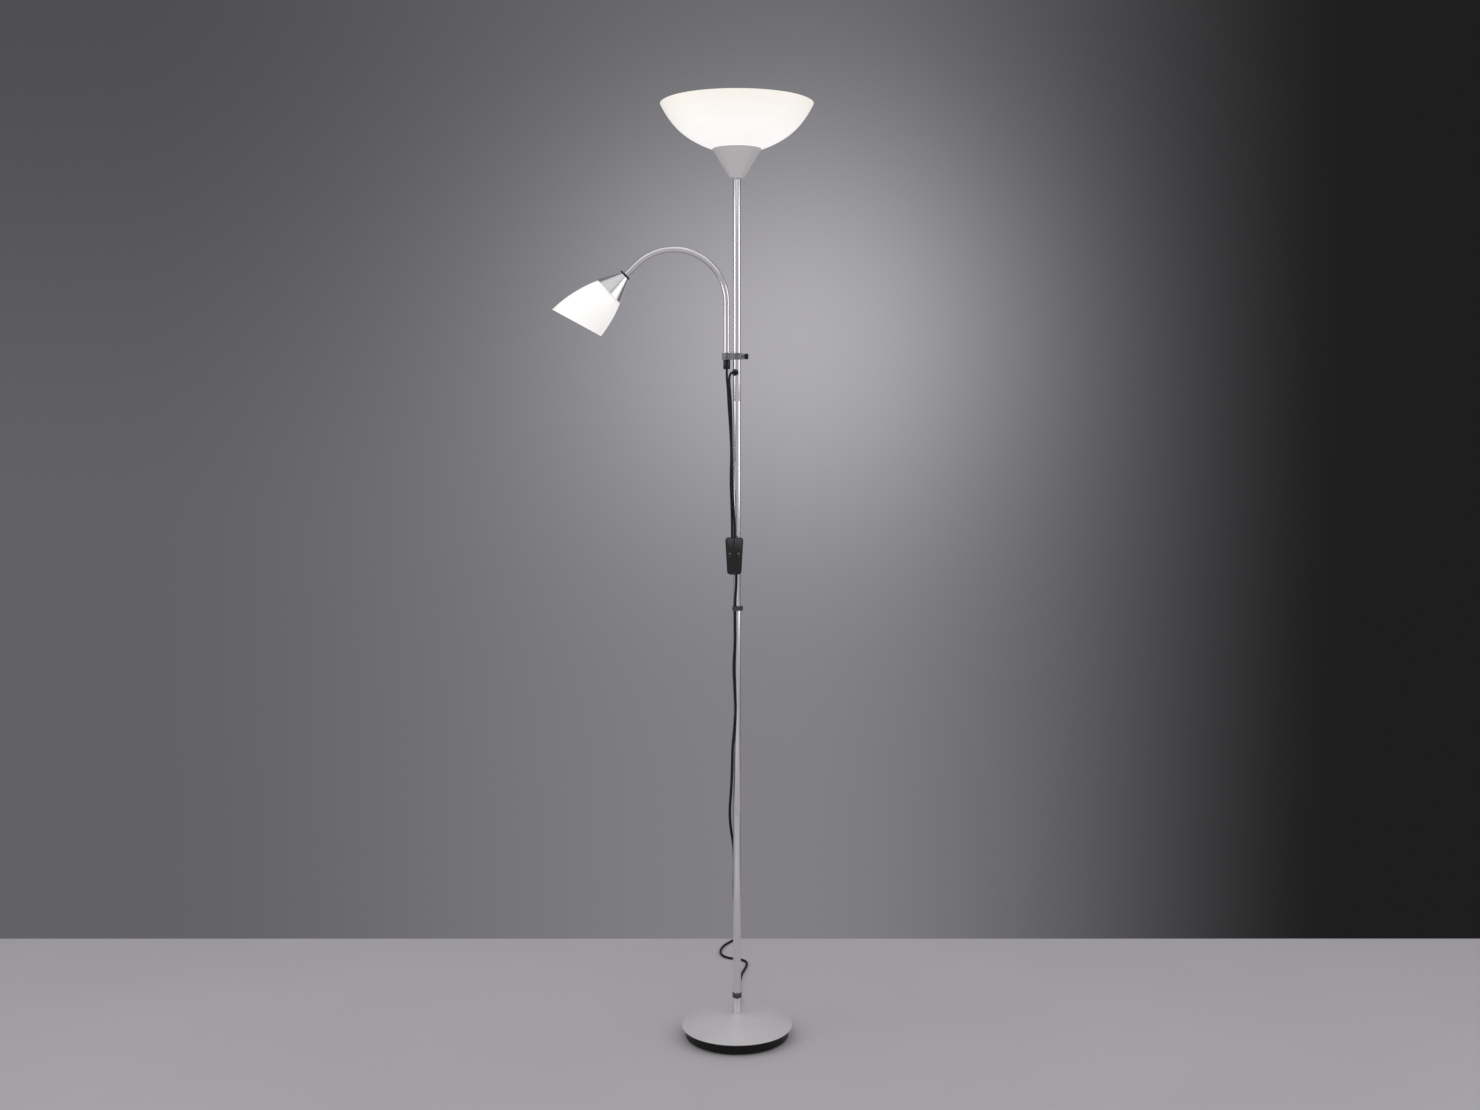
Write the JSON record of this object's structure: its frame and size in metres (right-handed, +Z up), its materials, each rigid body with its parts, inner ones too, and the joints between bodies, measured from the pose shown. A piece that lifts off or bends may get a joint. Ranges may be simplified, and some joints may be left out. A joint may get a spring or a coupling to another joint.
{
  "type": "torchiere floor lamp with reading light",
  "caption": "Floor lamp with a round base, straight pole, opal uplighter bowl and a second opal shade on a bent flexible side arm; in-line switch on the cord.",
  "frame": {"origin": "on the floor under the pole's axis, on the sole of the central foot", "axes": "+Z up the pole; the reading arm points to -X; the switch hangs on the -Y side"},
  "size_m": [0.4936, 0.8865, 1.8003],
  "materials": {
    "satin_metal": "satin",
    "arm_metal": "polished",
    "iron": "matt",
    "steel": "plated",
    "black_plastic": "matt",
    "foot_rubber": "matt",
    "clear_plastic": "translucent grey",
    "clip_plastic": "satin",
    "lampholder_plastic": "satin",
    "brass": "plain",
    "bulb_glass": "opal",
    "opal_plastic": "opal, translucent",
    "switch_plastic": "gloss",
    "cord_rubber": "satin",
    "tie_plastic": "satin"
  },
  "bodies": {
    "root": {"base_feet": "foot_rubber", "base_tray": "black_plastic", "base_weight": "iron", "base_cover": "satin_metal", "base_nut_cap": "foot_rubber", "base_washer": "steel", "base_nut": "steel", "base_stud": "steel", "pole_foot_insert": "steel", "pole_tube_1": "satin_metal", "pole_tube_2": "satin_metal", "pole_tube_3": "satin_metal", "pole_tube_4": "satin_metal", "pole_couplers": "steel", "pole_top_insert": "steel", "pole_grommet": "black_plastic", "holder_cone": "satin_metal", "uplight_nipple": "steel", "uplight_locknut": "steel", "uplight_lampholder": "lampholder_plastic", "uplight_screw_shell": "brass", "uplight_bulb": "bulb_glass", "uplight_shade": "opal_plastic", "uplight_ring": "lampholder_plastic", "inner_wire": "cord_rubber", "switch_front": "switch_plastic", "switch_back": "switch_plastic", "switch_screws": "steel", "switch_terminals": "brass", "cable_clip_upper": "clip_plastic", "cable_clip_lower": "clip_plastic", "arm_cord": "cord_rubber", "pole_cord": "cord_rubber", "mains_lead": "cord_rubber", "lead_coil": "cord_rubber", "coil_tie": "tie_plastic", "plug_body": "cord_rubber", "plug_pins": "steel"},
    "clamp": {"clamp_body": "clear_plastic"},
    "thumbscrew": {"clamp_screw": "clear_plastic"},
    "arm": {"arm_relief": "black_plastic", "arm_stem": "arm_metal"},
    "link_1": {"arm_link_1": "arm_metal"},
    "link_2": {"arm_link_2": "arm_metal"},
    "link_3": {"arm_link_3": "arm_metal"},
    "link_4": {"arm_link_4": "arm_metal"},
    "link_5": {"arm_link_5": "arm_metal"},
    "reading_head": {"arm_link_6": "arm_metal", "head_collar": "black_plastic", "head_screw": "black_plastic", "head_cone": "satin_metal", "head_lampholder": "lampholder_plastic", "head_screw_shell": "brass", "head_bulb": "bulb_glass", "head_ring": "lampholder_plastic", "head_shade": "opal_plastic"},
    "rocker_left": {"rocker_left": "switch_plastic"},
    "rocker_right": {"rocker_right": "switch_plastic"}
  },
  "joints": [
    {"name": "clamp_slide", "type": "slide", "parent": "root", "child": "clamp", "axis": [0, 0, 1], "range_m": [-0.012, 0.004], "deforming": ["arm_cord"]},
    {"name": "clamp_screw_turn", "type": "hinge", "parent": "clamp", "child": "thumbscrew", "pos_m": [0.014, 0, 1.329], "axis": [1, 0, 0], "range_deg": [0, 360]},
    {"name": "arm_swivel", "type": "hinge", "parent": "clamp", "child": "arm", "pos_m": [-0.0193, 0, 1.329], "axis": [0, 0, 1], "range_deg": [-125, 125]},
    {"name": "arm_bend_1", "type": "hinge", "parent": "arm", "child": "link_1", "pos_m": [-0.02119, 0, 1.44937], "axis": [0, -1, 0], "range_deg": [-9, 9]},
    {"name": "arm_bend_2", "type": "hinge", "parent": "link_1", "child": "link_2", "pos_m": [-0.03591, 0, 1.48519], "axis": [0, -1, 0], "range_deg": [-9, 9]},
    {"name": "arm_bend_3", "type": "hinge", "parent": "link_2", "child": "link_3", "pos_m": [-0.06314, 0, 1.51274], "axis": [0, -1, 0], "range_deg": [-9, 9]},
    {"name": "arm_bend_4", "type": "hinge", "parent": "link_3", "child": "link_4", "pos_m": [-0.09879, 0, 1.52788], "axis": [0, -1, 0], "range_deg": [-9, 9]},
    {"name": "arm_bend_5", "type": "hinge", "parent": "link_4", "child": "link_5", "pos_m": [-0.13752, 0, 1.52832], "axis": [0, -1, 0], "range_deg": [-9, 9]},
    {"name": "arm_bend_6", "type": "hinge", "parent": "link_5", "child": "reading_head", "pos_m": [-0.17352, 0, 1.51402], "axis": [0, -1, 0], "range_deg": [-9, 9]},
    {"name": "rocker_left_tilt", "type": "hinge", "parent": "root", "child": "rocker_left", "pos_m": [-0.01125, -0.02342, 0.952], "axis": [0.866, -0.5, 0], "range_deg": [-12, 0]},
    {"name": "rocker_right_tilt", "type": "hinge", "parent": "root", "child": "rocker_right", "pos_m": [0.00125, -0.02342, 0.952], "axis": [0.866, 0.5, 0], "range_deg": [-12, 0]}
  ]
}
